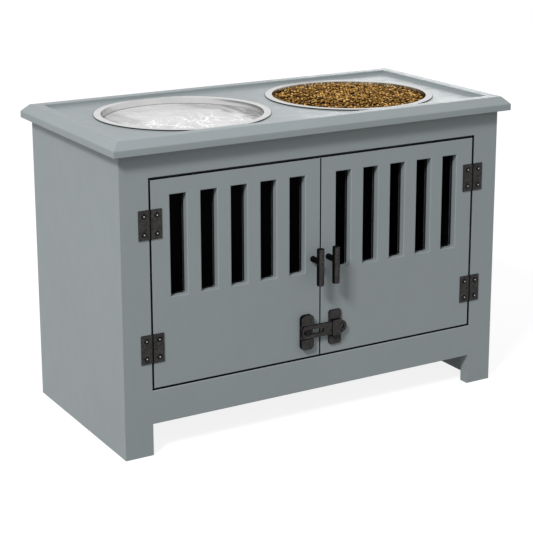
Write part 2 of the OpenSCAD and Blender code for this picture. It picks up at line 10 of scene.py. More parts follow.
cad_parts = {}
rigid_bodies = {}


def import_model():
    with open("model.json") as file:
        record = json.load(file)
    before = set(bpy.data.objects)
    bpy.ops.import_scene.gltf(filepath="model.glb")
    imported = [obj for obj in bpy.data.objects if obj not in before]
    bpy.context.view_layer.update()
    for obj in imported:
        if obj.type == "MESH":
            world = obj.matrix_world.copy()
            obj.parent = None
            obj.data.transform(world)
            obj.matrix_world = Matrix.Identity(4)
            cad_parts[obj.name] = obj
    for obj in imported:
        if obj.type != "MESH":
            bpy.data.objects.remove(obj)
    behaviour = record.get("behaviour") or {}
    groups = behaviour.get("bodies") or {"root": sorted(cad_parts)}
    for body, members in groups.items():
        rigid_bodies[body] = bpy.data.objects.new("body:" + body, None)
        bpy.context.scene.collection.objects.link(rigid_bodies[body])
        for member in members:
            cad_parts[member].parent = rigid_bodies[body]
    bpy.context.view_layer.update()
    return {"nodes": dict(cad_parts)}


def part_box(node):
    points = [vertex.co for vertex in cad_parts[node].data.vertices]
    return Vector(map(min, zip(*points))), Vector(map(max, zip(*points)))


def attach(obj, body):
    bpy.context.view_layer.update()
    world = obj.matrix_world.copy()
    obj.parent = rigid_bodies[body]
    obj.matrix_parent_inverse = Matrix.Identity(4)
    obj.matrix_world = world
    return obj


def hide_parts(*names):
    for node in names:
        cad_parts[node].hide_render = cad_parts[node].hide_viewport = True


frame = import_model()
NODES = frame["nodes"]
MM = 0.001

# ---------------------------------------------------------------- sizes taken from the CAD source
# A bowl's mouth and rim, as radii at the rim's height, and the lean of its wall.
MOUTH = 108 * MM
RIM = 118 * MM
LEAN = math.tan(math.radians(12))
# The hinge pins' distance from the middle, and the height between the two pairs of hinges.
PIN = 247.5 * MM
HINGE_MIDDLE = 223.5 * MM
HINGE_APART = 80.5 * MM
# A hinge screw's place: off the pin, and up or down from its leaf's middle.
SCREW_ASIDE = 9 * MM
SCREW_ALONG = 11.6 * MM
# The space that sides, rails, floor, back and top close in.
INSIDE = (Vector((-273.5, -116.5, 91.5)) * MM, Vector((273.5, 131.75, 395.5)) * MM)
DOORS = [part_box("door_left"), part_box("door_right")]
DOOR_FRONT = DOORS[0][0].y

# ---------------------------------------------------------------- camera
# Fitted to the photograph. The shift is a compromise that keeps the other views in the picture.
CAM_PLACE = (-1.035347, -1.769068, 0.795209)
CAM_RIGHT = Vector((0.863996, -0.503492, -0.002537))
CAM_BACK = Vector((-0.48791, -0.83848, 0.242683))
cam_data = bpy.data.cameras.new("camera")
cam = bpy.data.objects.new("camera", cam_data)
bpy.context.scene.collection.objects.link(cam)
cam_turn = Matrix((CAM_RIGHT, CAM_BACK.cross(CAM_RIGHT), CAM_BACK)).transposed()
cam.matrix_world = Matrix.Translation(CAM_PLACE) @ cam_turn.to_4x4()
cam_data.lens = 103.328
cam_data.sensor_width = 36
cam_data.shift_y = -0.135
cam_data.clip_start = 0.05
cam_data.clip_end = 60
bpy.context.scene.camera = cam


# ---------------------------------------------------------------- node helpers
class Tree:
    """Short-hand for building a node tree."""

    def __init__(self, owner):
        owner.use_nodes = True
        self.tree = owner.node_tree
        self.tree.nodes.clear()

    def add(self, kind, **values):
        node = self.tree.nodes.new(kind)
        for key, value in values.items():
            setattr(node, key, value)
        return node

    def link(self, source, target):
        self.tree.links.new(source, target)

    def put(self, socket, value):
        if isinstance(value, bpy.types.NodeSocket):
            self.link(value, socket)
        elif value is not None:
            socket.default_value = value

    def math(self, operation, a, b=None):
        node = self.add("ShaderNodeMath", operation=operation)
        self.put(node.inputs[0], a)
        self.put(node.inputs[1], b)
        return node.outputs[0]

    def length(self, a, b):
        """The long side of a right triangle with the sides a and b."""
        squares = [self.math("POWER", value, 2.0) for value in (a, b)]
        return self.math("SQRT", self.math("ADD", *squares))

    def blend(self, share, a, b):
        """A share of a, and b for the rest."""
        return self.math("ADD", self.math("MULTIPLY", a, share),
                         self.math("MULTIPLY", b, 1 - share))

    def vector(self, operation, *values):
        node = self.add("ShaderNodeVectorMath", operation=operation)
        for socket, value in zip(node.inputs, values):
            self.put(socket, value)
        return node.outputs[0]

    def split(self, vector):
        node = self.add("ShaderNodeSeparateXYZ")
        self.link(vector, node.inputs[0])
        return tuple(node.outputs)

    def own_normal(self):
        """The normal's x, y and z in the object's own frame, so that it turns with a door."""
        turned = self.add("ShaderNodeVectorTransform", vector_type="NORMAL",
                          convert_from="WORLD", convert_to="OBJECT")
        self.link(self.add("ShaderNodeNewGeometry").outputs["Normal"], turned.inputs[0])
        return self.split(turned.outputs[0])

    def seen(self):
        """1 on rays that show the background: from the camera, mirrored or let through."""
        rays = self.add("ShaderNodeLightPath").outputs
        return self.math("MAXIMUM", rays["Is Camera Ray"],
                         self.math("MAXIMUM", rays["Is Glossy Ray"],
                                   rays["Is Transmission Ray"]))

    def noise(self, vector, scale, detail=2.0, roughness=0.5, output="Fac"):
        node = self.add("ShaderNodeTexNoise")
        self.put(node.inputs["Vector"], vector)
        node.inputs["Scale"].default_value = scale
        node.inputs["Detail"].default_value = detail
        node.inputs["Roughness"].default_value = roughness
        return node.outputs[output]

    def ramp(self, value, stops):
        """A colour ramp. stops are pairs of a place from 0 to 1 and a linear colour."""
        node = self.add("ShaderNodeValToRGB")
        self.put(node.inputs[0], value)
        parts = node.color_ramp.elements
        while len(parts) < len(stops):
            parts.new(0.5)
        for part, (place, colour) in zip(parts, stops):
            part.position = place
            part.color = (*colour, 1)
        return node.outputs[0]

    def span(self, value, a, b, c, d):
        """The values from a to b, mapped smoothly to c to d and held beyond both ends."""
        node = self.add("ShaderNodeMapRange", interpolation_type="SMOOTHSTEP")
        self.put(node.inputs["Value"], value)
        for name, number in zip(("From Min", "From Max", "To Min", "To Max"), (a, b, c, d)):
            node.inputs[name].default_value = number
        return node.outputs["Result"]

    def mix(self, factor, a, b):
        node = self.add("ShaderNodeMix", data_type="RGBA")
        self.put(node.inputs[0], factor)
        self.put(node.inputs[6], a)
        self.put(node.inputs[7], b)
        return node.outputs[2]

    def bump(self, height, strength, distance, normal=None):
        node = self.add("ShaderNodeBump")
        node.inputs["Strength"].default_value = strength
        node.inputs["Distance"].default_value = distance
        self.put(node.inputs["Height"], height)
        self.put(node.inputs["Normal"], normal)
        return node.outputs[0]

    def stretched(self, vector, factors):
        node = self.add("ShaderNodeMapping")
        self.put(node.inputs["Vector"], vector)
        node.inputs["Scale"].default_value = factors
        return node.outputs[0]


def srgb(r, g, b):
    """sRGB from 0 to 255, as linear colour."""
    return tuple(v / 12.92 if v <= 0.04045 else ((v + 0.055) / 1.055) ** 2.4
                 for v in (r / 255, g / 255, b / 255))


def scaled(colour, factor):
    return tuple(min(1.0, v * factor) for v in colour)


def surface(name):
    """A new material with a Principled shader.

    Returns the material, its tree, the shader and the object coordinates.
    """
    material = bpy.data.materials.new(name)
    t = Tree(material)
    shader = t.add("ShaderNodeBsdfPrincipled")
    out = t.add("ShaderNodeOutputMaterial")
    t.link(shader.outputs[0], out.inputs[0])
    place = t.add("ShaderNodeTexCoord").outputs["Object"]
    return material, t, shader, place


# ---------------------------------------------------------------- materials
PAINT = srgb(139, 147, 149)


def make_paint():
    """Satin grey paint with a faint roller texture."""
    material, t, shader, place = surface("painted_board")
    cloud = t.noise(place, 5.0, 3.0)
    roll = t.noise(t.stretched(place, (1, 1, 0.5)), 60.0, 3.0)
    tone = t.blend(0.6, cloud, roll)
    colour = t.ramp(tone, [(0.3, scaled(PAINT, 0.965)), (0.7, scaled(PAINT, 1.035))])
    t.link(colour, shader.inputs["Base Color"])
    t.link(t.span(roll, 0.3, 0.7, 0.40, 0.48), shader.inputs["Roughness"])
    shader.inputs["Specular IOR Level"].default_value = 0.32
    fine = t.noise(place, 900.0, 2.0)
    skin = t.bump(fine, 0.06, 0.0002)
    t.link(t.bump(roll, 0.014, 0.0003, skin), shader.inputs["Normal"])
    return material


def make_steel(name, lathe, paints_food_reflection):
    """Satin stainless steel, turned round the bowl's axis. lathe is the middle of the bowl's rim.

    For the bowl with dry food, brown streaks on its inner wall are a painted reflection of the
    food.
    """
    material, t, shader, place = surface(name)
    x, y, z = t.split(t.vector("SUBTRACT", place, lathe))
    radius = t.length(x, y)
    joined = t.add("ShaderNodeCombineXYZ")
    t.link(radius, joined.inputs[0])
    t.link(z, joined.inputs[2])
    lines = t.noise(joined.outputs[0], 1400.0, 2.0)
    cloud = t.noise(place, 25.0, 3.0)
    tone = t.ramp(t.blend(0.7, cloud, lines),
                  [(0.3, (0.57, 0.57, 0.57)), (0.7, (0.645, 0.645, 0.64))])
    # Painted reflection: the turn from the wall to the rim is painted dark at the bowl's left and
    # right.
    side = t.span(t.math("DIVIDE", t.math("ABSOLUTE", x), radius), 0.72, 0.95, 0, 1)
    high = t.span(z, -5.5 * MM, -1.2 * MM, 0.0, 1.0)
    flat = t.span(z, -0.7 * MM, -0.4 * MM, 1.0, 0.0)
    turned = t.math("MULTIPLY", t.math("MULTIPLY", high, flat), side)
    with_dark_reflection = t.mix(t.math("MULTIPLY", turned, 0.72), tone, (0.08, 0.08, 0.085, 1))
    # Painted shade: the rim's outer edge is painted dark all round, for the shadow of the gap under
    # it and a dark reflection on the edge.
    rim = t.span(radius, RIM - 1.1 * MM, RIM - 0.6 * MM, 0.0, 1.0)
    steel_with_painted_light = t.mix(rim, with_dark_reflection, (0.05, 0.05, 0.055, 1))
    if paints_food_reflection:
        # Painted reflection: brown streaks of the dry food on the inner wall.
        streaks = t.noise(t.stretched(place, (1, 1, 0.12)), 330.0, 3.0, 0.7)
        brown = t.ramp(streaks, [(0.36, (0.035, 0.022, 0.008)), (0.5, (0.16, 0.10, 0.035)),
                                 (0.64, (0.50, 0.40, 0.24))])
        # Only the inner face: the wall leans, so its radius is taken back to the height of the rim.
        upright = t.math("SUBTRACT", radius, t.math("MULTIPLY", z, LEAN))
        inner = t.math("MULTIPLY", t.span(upright, MOUTH + 0.2 * MM, MOUTH + 0.6 * MM, 1.0, 0.0),
                       t.span(z, -20 * MM, -14 * MM, 0.0, 1.0))
        wall = t.math("MULTIPLY", t.span(z, -1.6 * MM, -0.7 * MM, 1.0, 0.0), inner)
        steel_with_painted_light = t.mix(t.math("MULTIPLY", wall, 0.92), steel_with_painted_light, brown)
    t.link(steel_with_painted_light, shader.inputs["Base Color"])
    shader.inputs["Metallic"].default_value = 1.0
    t.link(t.span(lines, 0.3, 0.7, 0.18, 0.3), shader.inputs["Roughness"])
    t.link(t.bump(lines, 0.06, 0.0002), shader.inputs["Normal"])
    return material


def make_screw_steel():
    """Bare steel of the pulls' machine screws."""
    material, t, shader, place = surface("screw_steel")
    lines = t.noise(t.stretched(place, (1, 0.2, 1)), 700.0, 2.0)
    shader.inputs["Metallic"].default_value = 1.0
    t.link(t.ramp(lines, [(0.3, (0.5, 0.5, 0.5)), (0.7, (0.66, 0.66, 0.65))]),
           shader.inputs["Base Color"])
    t.link(t.span(lines, 0.3, 0.7, 0.2, 0.35), shader.inputs["Roughness"])
    t.link(t.bump(lines, 0.1, 0.0002), shader.inputs["Normal"])
    return material


def make_black(name, rough, front, side, shine, turn):
    """Dark coated metal with painted light: faces that point forward are painted lighter, as if
    lit, and the flanks darker, as if in shade.

    front and side are the two colours. Between them, turn gives how far the normal points
    forward.
    """
    material, t, shader, place = surface(name)
    painted_front_light = t.span(t.math("ABSOLUTE", t.own_normal()[1]), *turn, 0.0, 1.0)
    grain = t.noise(place, 420.0, 3.0, 0.6)
    cloud = t.noise(place, 120.0, 2.0)
    face = t.ramp(t.blend(0.7, grain, cloud),
                  [(0.36, scaled(front, 0.6)), (0.64, scaled(front, 1.5))])
    # Painted light: forward faces take the lighter colour and the flanks the dark one.
    t.link(t.mix(painted_front_light, (*side, 1), face), shader.inputs["Base Color"])
    t.link(t.span(grain, 0.3, 0.7, rough - 0.06, rough + 0.06), shader.inputs["Roughness"])
    shader.inputs["Specular IOR Level"].default_value = shine
    t.link(t.bump(grain, 0.25, 0.0002), shader.inputs["Normal"])
    return material


def make_hinge_screw():
    """Black domed screw with a painted highlight: a bright bare-metal spot in its recess. One
    bright spot to each head.
    """
    material, t, shader, place = surface("hinge_screws")
    x, _, z = t.split(place)

    def folded(value, *steps):
        """Both sides of each step are laid on each other, so one spot serves every screw."""
        for step in steps:
            value = t.math("SUBTRACT", t.math("ABSOLUTE", value), step)
        return value

    away = t.length(folded(x, PIN, SCREW_ASIDE),
                    folded(t.math("SUBTRACT", z, HINGE_MIDDLE), HINGE_APART, SCREW_ALONG))
    # Painted highlight: a small bright metal spot in the middle of each head.
    highlight_spot = t.span(away, 0.7 * MM, 1.2 * MM, 1.0, 0.0)
    grain = t.noise(place, 900.0, 2.0)
    coat = t.ramp(grain, [(0.3, srgb(10, 10, 10)), (0.7, srgb(18, 17, 17))])
    t.link(t.mix(highlight_spot, coat, (0.42, 0.42, 0.42, 1)), shader.inputs["Base Color"])
    t.link(highlight_spot, shader.inputs["Metallic"])
    t.link(t.span(grain, 0.3, 0.7, 0.28, 0.4), shader.inputs["Roughness"])
    shader.inputs["Specular IOR Level"].default_value = 0.1
    t.link(t.bump(grain, 0.1, 0.0002), shader.inputs["Normal"])
    return material


def make_wood():
    """Bare wood of the dowels."""
    material, t, shader, place = surface("dowel_wood")
    rings = t.noise(t.stretched(place, (0.6, 6, 6)), 90.0, 4.0, 0.6)
    t.link(t.ramp(rings, [(0.3, srgb(196, 160, 112)), (0.7, srgb(226, 196, 150))]),
           shader.inputs["Base Color"])
    shader.inputs["Roughness"].default_value = 0.6
    t.link(t.bump(rings, 0.2, 0.0003), shader.inputs["Normal"])
    return material


def make_painted_shade():
    """Near-black painted shade, with a faint grain, for the faces that close the cabinet's inside.
    """
    material, t, shader, place = surface("inside_stain")
    grain = t.noise(t.stretched(place, (1, 1, 0.15)), 160.0, 4.0, 0.6)
    t.link(t.ramp(grain, [(0.3, (0.010, 0.011, 0.012)), (0.7, (0.022, 0.023, 0.025))]),
           shader.inputs["Base Color"])
    t.link(t.span(grain, 0.3, 0.7, 0.7, 0.85), shader.inputs["Roughness"])
    shader.inputs["Specular IOR Level"].default_value = 0.1
    t.link(t.bump(grain, 0.3, 0.0003), shader.inputs["Normal"])
    return material


paint = make_paint()
# Near-black painted shade for the cabinet's inside and for the deep parts of the gaps and slots.
inside = make_painted_shade()
black = make_black("black_hardware", rough=0.6, front=srgb(59, 58, 57), side=srgb(5, 5, 6),
                   shine=0.05, turn=(0.5, 0.85))
screw_black = make_black("black_screws", rough=0.3, front=srgb(15, 15, 15), side=srgb(3, 3, 3),
                         shine=0.12, turn=(0.72, 0.93))
hinge_screw = make_hinge_screw()
# Near-black for the hinge rods and the screw seats: painted shade of the gaps and seats.
pin_black = make_black("black_pins", rough=0.6, front=srgb(9, 9, 9), side=srgb(4, 4, 4),
                       shine=0.08, turn=(0.35, 0.8))
wood = make_wood()
# The middle of each bowl's rim.
bowls = {}
for side in ("left", "right"):
    low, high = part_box("bowl_" + side)
    bowls[side] = Vector(((low.x + high.x) / 2, (low.y + high.y) / 2, high.z))
steel = {side: make_steel("bowl_steel_" + side, bowls[side], side == "right") for side in bowls}
screw_steel = make_screw_steel()


def dress(name, material):
    data = NODES[name].data
    data.materials.clear()
    data.materials.append(material)


for name in NODES:
    if name.startswith("bowl_"):
        dress(name, steel[name[5:]])
    elif name.startswith("pull_screw"):
        dress(name, screw_steel)
    elif "dowels" in name:
        dress(name, wood)
    elif name.startswith("hinge_screws"):
        dress(name, hinge_screw)
    elif name in ("back_screws", "latch_rivet"):
        dress(name, screw_black)
    elif name.startswith("hinge_pin"):
        dress(name, pin_black)
    elif name.startswith(("hinge", "pull", "latch")):
        dress(name, black)
    else:
        dress(name, paint)


# ---------------------------------------------------------------- pieces
# A face is flat against an axis when that part of its normal is larger.
FLAT = 0.99
# Edges that turn by more than this angle, in radians, stay sharp in the shading.
CREASE = 0.62
# How deep one can see into the gaps round the doors and into the doors' slots.
GAP_DEPTH = 6.5 * MM
SLOT_DEPTH = 9.2 * MM
# How far from a door's outline a flank may lie to count as one of its gap's sides.
FRAME_REACH = 3.2 * MM
DOOR_REACH = 0.5 * MM
# Widths of the rounded edges, and the shortest edges of the table top and the doors that get one.
BOARD_EDGE = 1.1 * MM
TABLE_EDGE, TABLE_LEAST = 1.0 * MM, 30 * MM
DOOR_EDGE, DOOR_LEAST = 0.45 * MM, 9 * MM


def new_object(name, mesh, body=None):
    item = bpy.data.objects.new(name, mesh)
    bpy.context.scene.collection.objects.link(item)
    if body:
        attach(item, body)
    return item


def finish_mesh(bm, name, material, crease=None):
    """Smooth shading, except across edges sharper than crease."""
    mesh = bpy.data.meshes.new(name)
    bm.normal_update()
    for edge in bm.edges:
        if crease and len(edge.link_faces) == 2 and edge.calc_face_angle(0) > crease:
            edge.smooth = False
    bm.to_mesh(mesh)
    bm.free()
    for polygon in mesh.polygons:
        polygon.use_smooth = True
    mesh.materials.append(material)
    return mesh


def soften(item):
    """Flat faces stay flat in the shading, and the rounded edges take up the turn."""
    modifier = item.modifiers.new("normals", "WEIGHTED_NORMAL")
    modifier.keep_sharp = True
    modifier.weight = 100


def bevel(bm, edges, width, segments):
    bmesh.ops.bevel(bm, geom=edges, offset=width, segments=segments, profile=0.5,
                    affect="EDGES", clamp_overlap=True)


def cut_across(bm, place, normal):
    """Cuts every face along a plane, without taking anything away."""
    bmesh.ops.bisect_plane(bm, geom=bm.verts[:] + bm.edges[:] + bm.faces[:],
                           plane_co=place, plane_no=normal)


def shade_inside(mesh):
    """Painted shade: the second, near-black material goes on the faces that look into the cabinet.
    """
    mesh.materials.append(inside)
    middle = (INSIDE[0] + INSIDE[1]) / 2
    for polygon in mesh.polygons:
        c = polygon.center
        inner = all(INSIDE[0][i] < c[i] < INSIDE[1][i] for i in range(3))
        flat = max(abs(v) for v in polygon.normal) > FLAT
        if inner and flat and polygon.normal.dot(middle - c) > 0:
            polygon.material_index = 1


def shade_gaps(mesh, reach):
    """Painted shade: the second, near-black material goes on the flanks that one sees as dark lines
    from the front.

    That is a strip along the gaps round the doors, as deep as one can see in, and the part of
    the doors' slots behind that depth.
    """
    mesh.materials.append(inside)
    deep = DOOR_FRONT + GAP_DEPTH
    slot_rear = DOOR_FRONT + SLOT_DEPTH
    bm = bmesh.new()
    bm.from_mesh(mesh)
    for level in (deep, slot_rear):
        cut_across(bm, (0, level, 0), (0, 1, 0))
    bm.to_mesh(mesh)
    bm.free()
    for polygon in mesh.polygons:
        n, c = polygon.normal, polygon.center
        flank = abs(n.x) > FLAT or abs(n.z) > FLAT
        for low, high in DOORS:
            near = all(low[i] - reach < c[i] < high[i] + reach for i in (0, 2))
            rim = min(abs(c.x - low.x), abs(c.x - high.x), abs(c.z - low.z), abs(c.z - high.z))
            if flank and near and (c.y < deep if rim < reach else c.y > slot_rear):
                polygon.material_index = 1


# Painted boards get rounded edges, except where another board closes against them.
BOARDS = ["side_panel_left", "side_panel_right", "stile_left", "stile_right",
          "top_rail", "bottom_rail", "floor_panel", "back_panel"]
SOLIDS = {name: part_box(name) for name in BOARDS + ["table_top"]}


def covered(point, own):
    """Whether a point lies inside another board."""
    for name, (low, high) in SOLIDS.items():
        if name != own and all(low[i] < point[i] < high[i] for i in range(3)):
            return True
    return False


def board(name):
    """One painted board. It is cut where others meet it, so that each edge is free or covered."""
    low, high = SOLIDS[name]
    bm = bmesh.new()
    bmesh.ops.create_cube(bm, size=1.0)
    for vert in bm.verts:
        vert.co = Vector([low[i] if vert.co[i] < 0 else high[i] for i in range(3)])
    for other, (a, b) in SOLIDS.items():
        if other == name:
            continue
        touching = all(a[i] < high[i] + MM and b[i] > low[i] - MM for i in range(3))
        for i in range(3):
            for edge in (a[i], b[i]):
                if touching and low[i] + MM < edge < high[i] - MM:
                    normal = Vector((0, 0, 0))
                    normal[i] = 1
                    cut_across(bm, normal * edge, normal)
    bm.normal_update()
    free = []
    step = 0.6 * MM
    for edge in bm.edges:
        if len(edge.link_faces) != 2 or edge.calc_face_angle() < 1.0:
            continue
        m = (edge.verts[0].co + edge.verts[1].co) / 2
        n, k = (face.normal for face in edge.link_faces)
        if not covered(m + step * (n - k), name) and not covered(m + step * (k - n), name):
            free.append(edge)
    bevel(bm, free, BOARD_EDGE, 3)
    mesh = finish_mesh(bm, "painted_" + name, paint, CREASE)
    if name in ("stile_left", "stile_right", "top_rail", "bottom_rail"):
        shade_gaps(mesh, FRAME_REACH)
    else:
        shade_inside(mesh)
    item = new_object("painted_" + name, mesh, "cabinet")
    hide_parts(name)
    soften(item)


def rounded_copy(name, body, width, least):
    """A CAD solid whose edges longer than least are rounded by width."""
    piece = "painted_" + name
    bm = bmesh.new()
    bm.from_mesh(NODES[name].data)
    bmesh.ops.remove_doubles(bm, verts=bm.verts, dist=2e-6)
    bmesh.ops.dissolve_limit(bm, angle_limit=math.radians(0.5), verts=bm.verts, edges=bm.edges,
                             use_dissolve_boundaries=False)
    bm.normal_update()
    chosen = [e for e in bm.edges if len(e.link_faces) == 2 and e.calc_length() > least
              and e.calc_face_angle() > 0.35]
    bevel(bm, chosen, width, 3)
    bmesh.ops.triangulate(bm, faces=[f for f in bm.faces if len(f.verts) > 4])
    mesh = finish_mesh(bm, piece, paint, CREASE)
    item = new_object(piece, mesh, body)
    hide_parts(name)
    soften(item)
    return item


for name in BOARDS:
    board(name)
shade_inside(rounded_copy("table_top", "cabinet", TABLE_EDGE, TABLE_LEAST).data)
for side in ("left", "right"):
    door = rounded_copy("door_" + side, side + "_door", DOOR_EDGE, DOOR_LEAST)
    shade_gaps(door.data, DOOR_REACH)


# ---------------------------------------------------------------- hinge leaves
# From the pin's axis to a leaf's edge. The black rod lies between the two leaves.
GROOVE = 1.05 * MM
LEAF_THICK = 1.3 * MM
# A screw's seat: its radius at the leaf's face, how far its wall leans in, and its depth.
SEAT = 3.45 * MM
SEAT_LEAN = 0.35 * MM
SEAT_DEPTH = 0.45 * MM


def leaf(node, body):
    """A flat pressed leaf beside the black rod, with a rolled edge and sunk screw seats."""
    low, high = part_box(node)
    on_frame = "frame" in node
    sign = 1 if low.x > 0 else -1
    outer = max(abs(low.x), abs(high.x))
    inner = min(abs(low.x), abs(high.x))
    near, far = (PIN + GROOVE, outer) if on_frame else (inner, PIN - GROOVE)
    back, front = high.y, high.y - LEAF_THICK
    count = 24
    middle = (low.z + high.z) / 2
    screw_x = PIN + (SCREW_ASIDE if on_frame else -SCREW_ASIDE)
    centres = [(screw_x, middle - SCREW_ALONG), (screw_x, middle + SCREW_ALONG)]
    bm = bmesh.new()

    def vert(x, y, z):
        return bm.verts.new((sign * x, y, z))

    # Each half of the face is a ring from a screw seat to the half's outline.
    for (cx, cz), (a, b) in zip(centres, ((low.z, middle), (middle, high.z))):
        corners = [(near, a), (far, a), (far, b), (near, b)]
        angles = [2 * math.pi * (k + 0.5) / count for k in range(count)]
        rays = [(math.cos(angle), math.sin(angle)) for angle in angles]
        outline = []
        for dx, dz in rays:
            reach = min(((far if dx > 0 else near) - cx) / dx, ((b if dz > 0 else a) - cz) / dz)
            outline.append((cx + dx * reach, cz + dz * reach))
        ring = [vert(x, front, z) for x, z in outline]
        hub, pit = (
            [vert(cx + dx * r, y, cz + dz * r) for dx, dz in rays]
            for r, y in ((SEAT, front), (SEAT - SEAT_LEAN, front + SEAT_DEPTH)))
        end = vert(cx, front + SEAT_DEPTH, cz)
        for k in range(count):
            j = (k + 1) % count
            bm.faces.new((ring[k], ring[j], hub[j], hub[k]))
            bm.faces.new((hub[k], hub[j], pit[j], pit[k]))
            bm.faces.new((pit[k], pit[j], end))
            p, q = outline[k], outline[j]
            if abs(p[0] - q[0]) > 1e-9 and abs(p[1] - q[1]) > 1e-9:
                x, z = min(corners, key=lambda c: math.dist(c, p) + math.dist(c, q))
                bm.faces.new((ring[k], vert(x, front, z), ring[j]))
    bmesh.ops.remove_doubles(bm, verts=bm.verts, dist=1e-6)
    rim = [e for e in bm.edges if len(e.link_faces) == 1]
    for grown in bmesh.ops.extrude_edge_only(bm, edges=rim)["geom"]:
        if isinstance(grown, bmesh.types.BMVert):
            grown.co.y = back
    bmesh.ops.recalc_face_normals(bm, faces=bm.faces)
    bm.normal_update()
    sharp = [e for e in bm.edges if len(e.link_faces) == 2 and e.calc_face_angle() > 1.2
             and all(abs(v.co.y - front) < 1e-6 for v in e.verts)]
    bevel(bm, sharp, 0.3 * MM, 2)
    mesh = finish_mesh(bm, "leaf_" + node, black, 0.6)
    # Painted shade: the sunk screw seats take the near-black of the pins, for the shade in them.
    mesh.materials.append(pin_black)
    for polygon in mesh.polygons:
        c = polygon.center
        if any(math.hypot(abs(c.x) - cx, c.z - cz) < SEAT for cx, cz in centres):
            polygon.material_index = 1
    item = new_object("leaf_" + node.replace("hinge_", ""), mesh, body)
    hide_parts(node)
    soften(item)


def joint_line(side, level):
    """The pin between two flat leaves, as a slim near-black rod that lies flush with them. Its
    near-black is painted shade: it stands for the dark gap between the leaves.
    """
    low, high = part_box("hinge_frame_leaf_%s_%s" % (side, level))
    x = -PIN if side == "left" else PIN
    y = high.y - 0.35 * MM
    chamfer = 0.3 * MM
    count = 16
    bm = bmesh.new()
    rings = []
    for z, r in ((low.z, 0.7 * MM), (low.z + chamfer, 1.0 * MM),
                 (high.z - chamfer, 1.0 * MM), (high.z, 0.7 * MM)):
        angles = [2 * math.pi * k / count for k in range(count)]
        rings.append([bm.verts.new((x + r * math.cos(angle), y + r * math.sin(angle), z))
                      for angle in angles])
    for a, b in zip(rings, rings[1:]):
        for k in range(count):
            j = (k + 1) % count
            bm.faces.new((a[k], a[j], b[j], b[k]))
    bm.faces.new(rings[0][::-1])
    bm.faces.new(rings[-1])
    name = "hinge_rod_%s_%s" % (side, level)
    item = new_object(name, finish_mesh(bm, name, pin_black, 0.9), "cabinet")
    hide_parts("hinge_pin_%s_%s" % (side, level))


for side in ("left", "right"):
    for level in ("upper", "lower"):
        joint_line(side, level)
        leaf("hinge_frame_leaf_%s_%s" % (side, level), "cabinet")
        leaf("hinge_door_leaf_%s_%s" % (side, level), side + "_door")


# ---------------------------------------------------------------- water and dry food
def water_looks(centre, reach):
    """Pale water with painted light: its reflections and caustics are painted into its colour.
    centre is the middle of the rim, reach the water's radius.
    """
    material, t, shader, place = surface("water")
    bend = t.noise(place, 26.0, 4.0, output="Color")
    bent = t.vector("MULTIPLY_ADD", bend, (0.032, 0.032, 0.032), place)

    def caustic(scale, width):
        cells = t.add("ShaderNodeTexVoronoi", feature="DISTANCE_TO_EDGE")
        t.link(t.stretched(bent, (1, 0.45, 1)), cells.inputs["Vector"])
        cells.inputs["Scale"].default_value = scale
        return t.span(cells.outputs["Distance"], 0.0, width, 1.0, 0.0)

    lines = t.math("MAXIMUM", caustic(34.0, 0.07), t.math("MULTIPLY", caustic(76.0, 0.08), 0.55))
    x, y, _ = t.split(t.vector("SUBTRACT", place, centre))
    # The painted caustic lines gather in the front half, and both ends are painted greyer, a
    # painted reflection.
    off = t.length(t.math("DIVIDE", x, 62 * MM),
                   t.math("DIVIDE", t.math("ADD", y, 42 * MM), 48 * MM))
    near = t.span(off, 0.5, 1.7, 1.0, 0.08)
    zone = t.math("MULTIPLY", near, t.span(t.noise(place, 22.0, 1.0), 0.38, 0.5, 0.25, 1.0))
    patches = t.noise(t.stretched(bent, (1, 0.6, 1)), 15.0, 3.0, 0.6)
    base = t.ramp(patches, [(0.38, (0.48, 0.48, 0.485)), (0.45, (0.64, 0.64, 0.64)),
                            (0.62, (0.72, 0.72, 0.72))])
    ends = t.math("MULTIPLY", t.span(t.math("ABSOLUTE", x), 48 * MM, 92 * MM, 0.0, 0.85),
                  t.span(t.noise(t.stretched(place, (1, 0.3, 1)), 45.0, 3.0), 0.46, 0.58, 0.0, 1.0))
    greyed = t.mix(ends, base, (0.20, 0.20, 0.21, 1))
    bright = t.math("MULTIPLY", lines, zone)
    with_painted_caustics = t.mix(bright, greyed, (1, 1, 1, 1))
    # A dark line is painted round the water's edge, where it meets the wall.
    edge = t.span(t.length(x, y), reach - 2.6 * MM, reach - 1.4 * MM, 0.0, 1.0)
    t.link(t.mix(edge, with_painted_caustics, (0.22, 0.22, 0.23, 1)), shader.inputs["Base Color"])
    shader.inputs["Roughness"].default_value = 0.04
    shader.inputs["IOR"].default_value = 1.33
    # Painted caustic light: the light lines also glow, for the light that the ripples gather on the
    # bottom.
    shader.inputs["Emission Color"].default_value = (1, 1, 1, 1)
    t.link(t.math("MULTIPLY", bright, 0.24), shader.inputs["Emission Strength"])
    shader.inputs["Alpha"].default_value = 0.88
    t.link(t.bump(lines, 0.25, 0.0006), shader.inputs["Normal"])
    return material


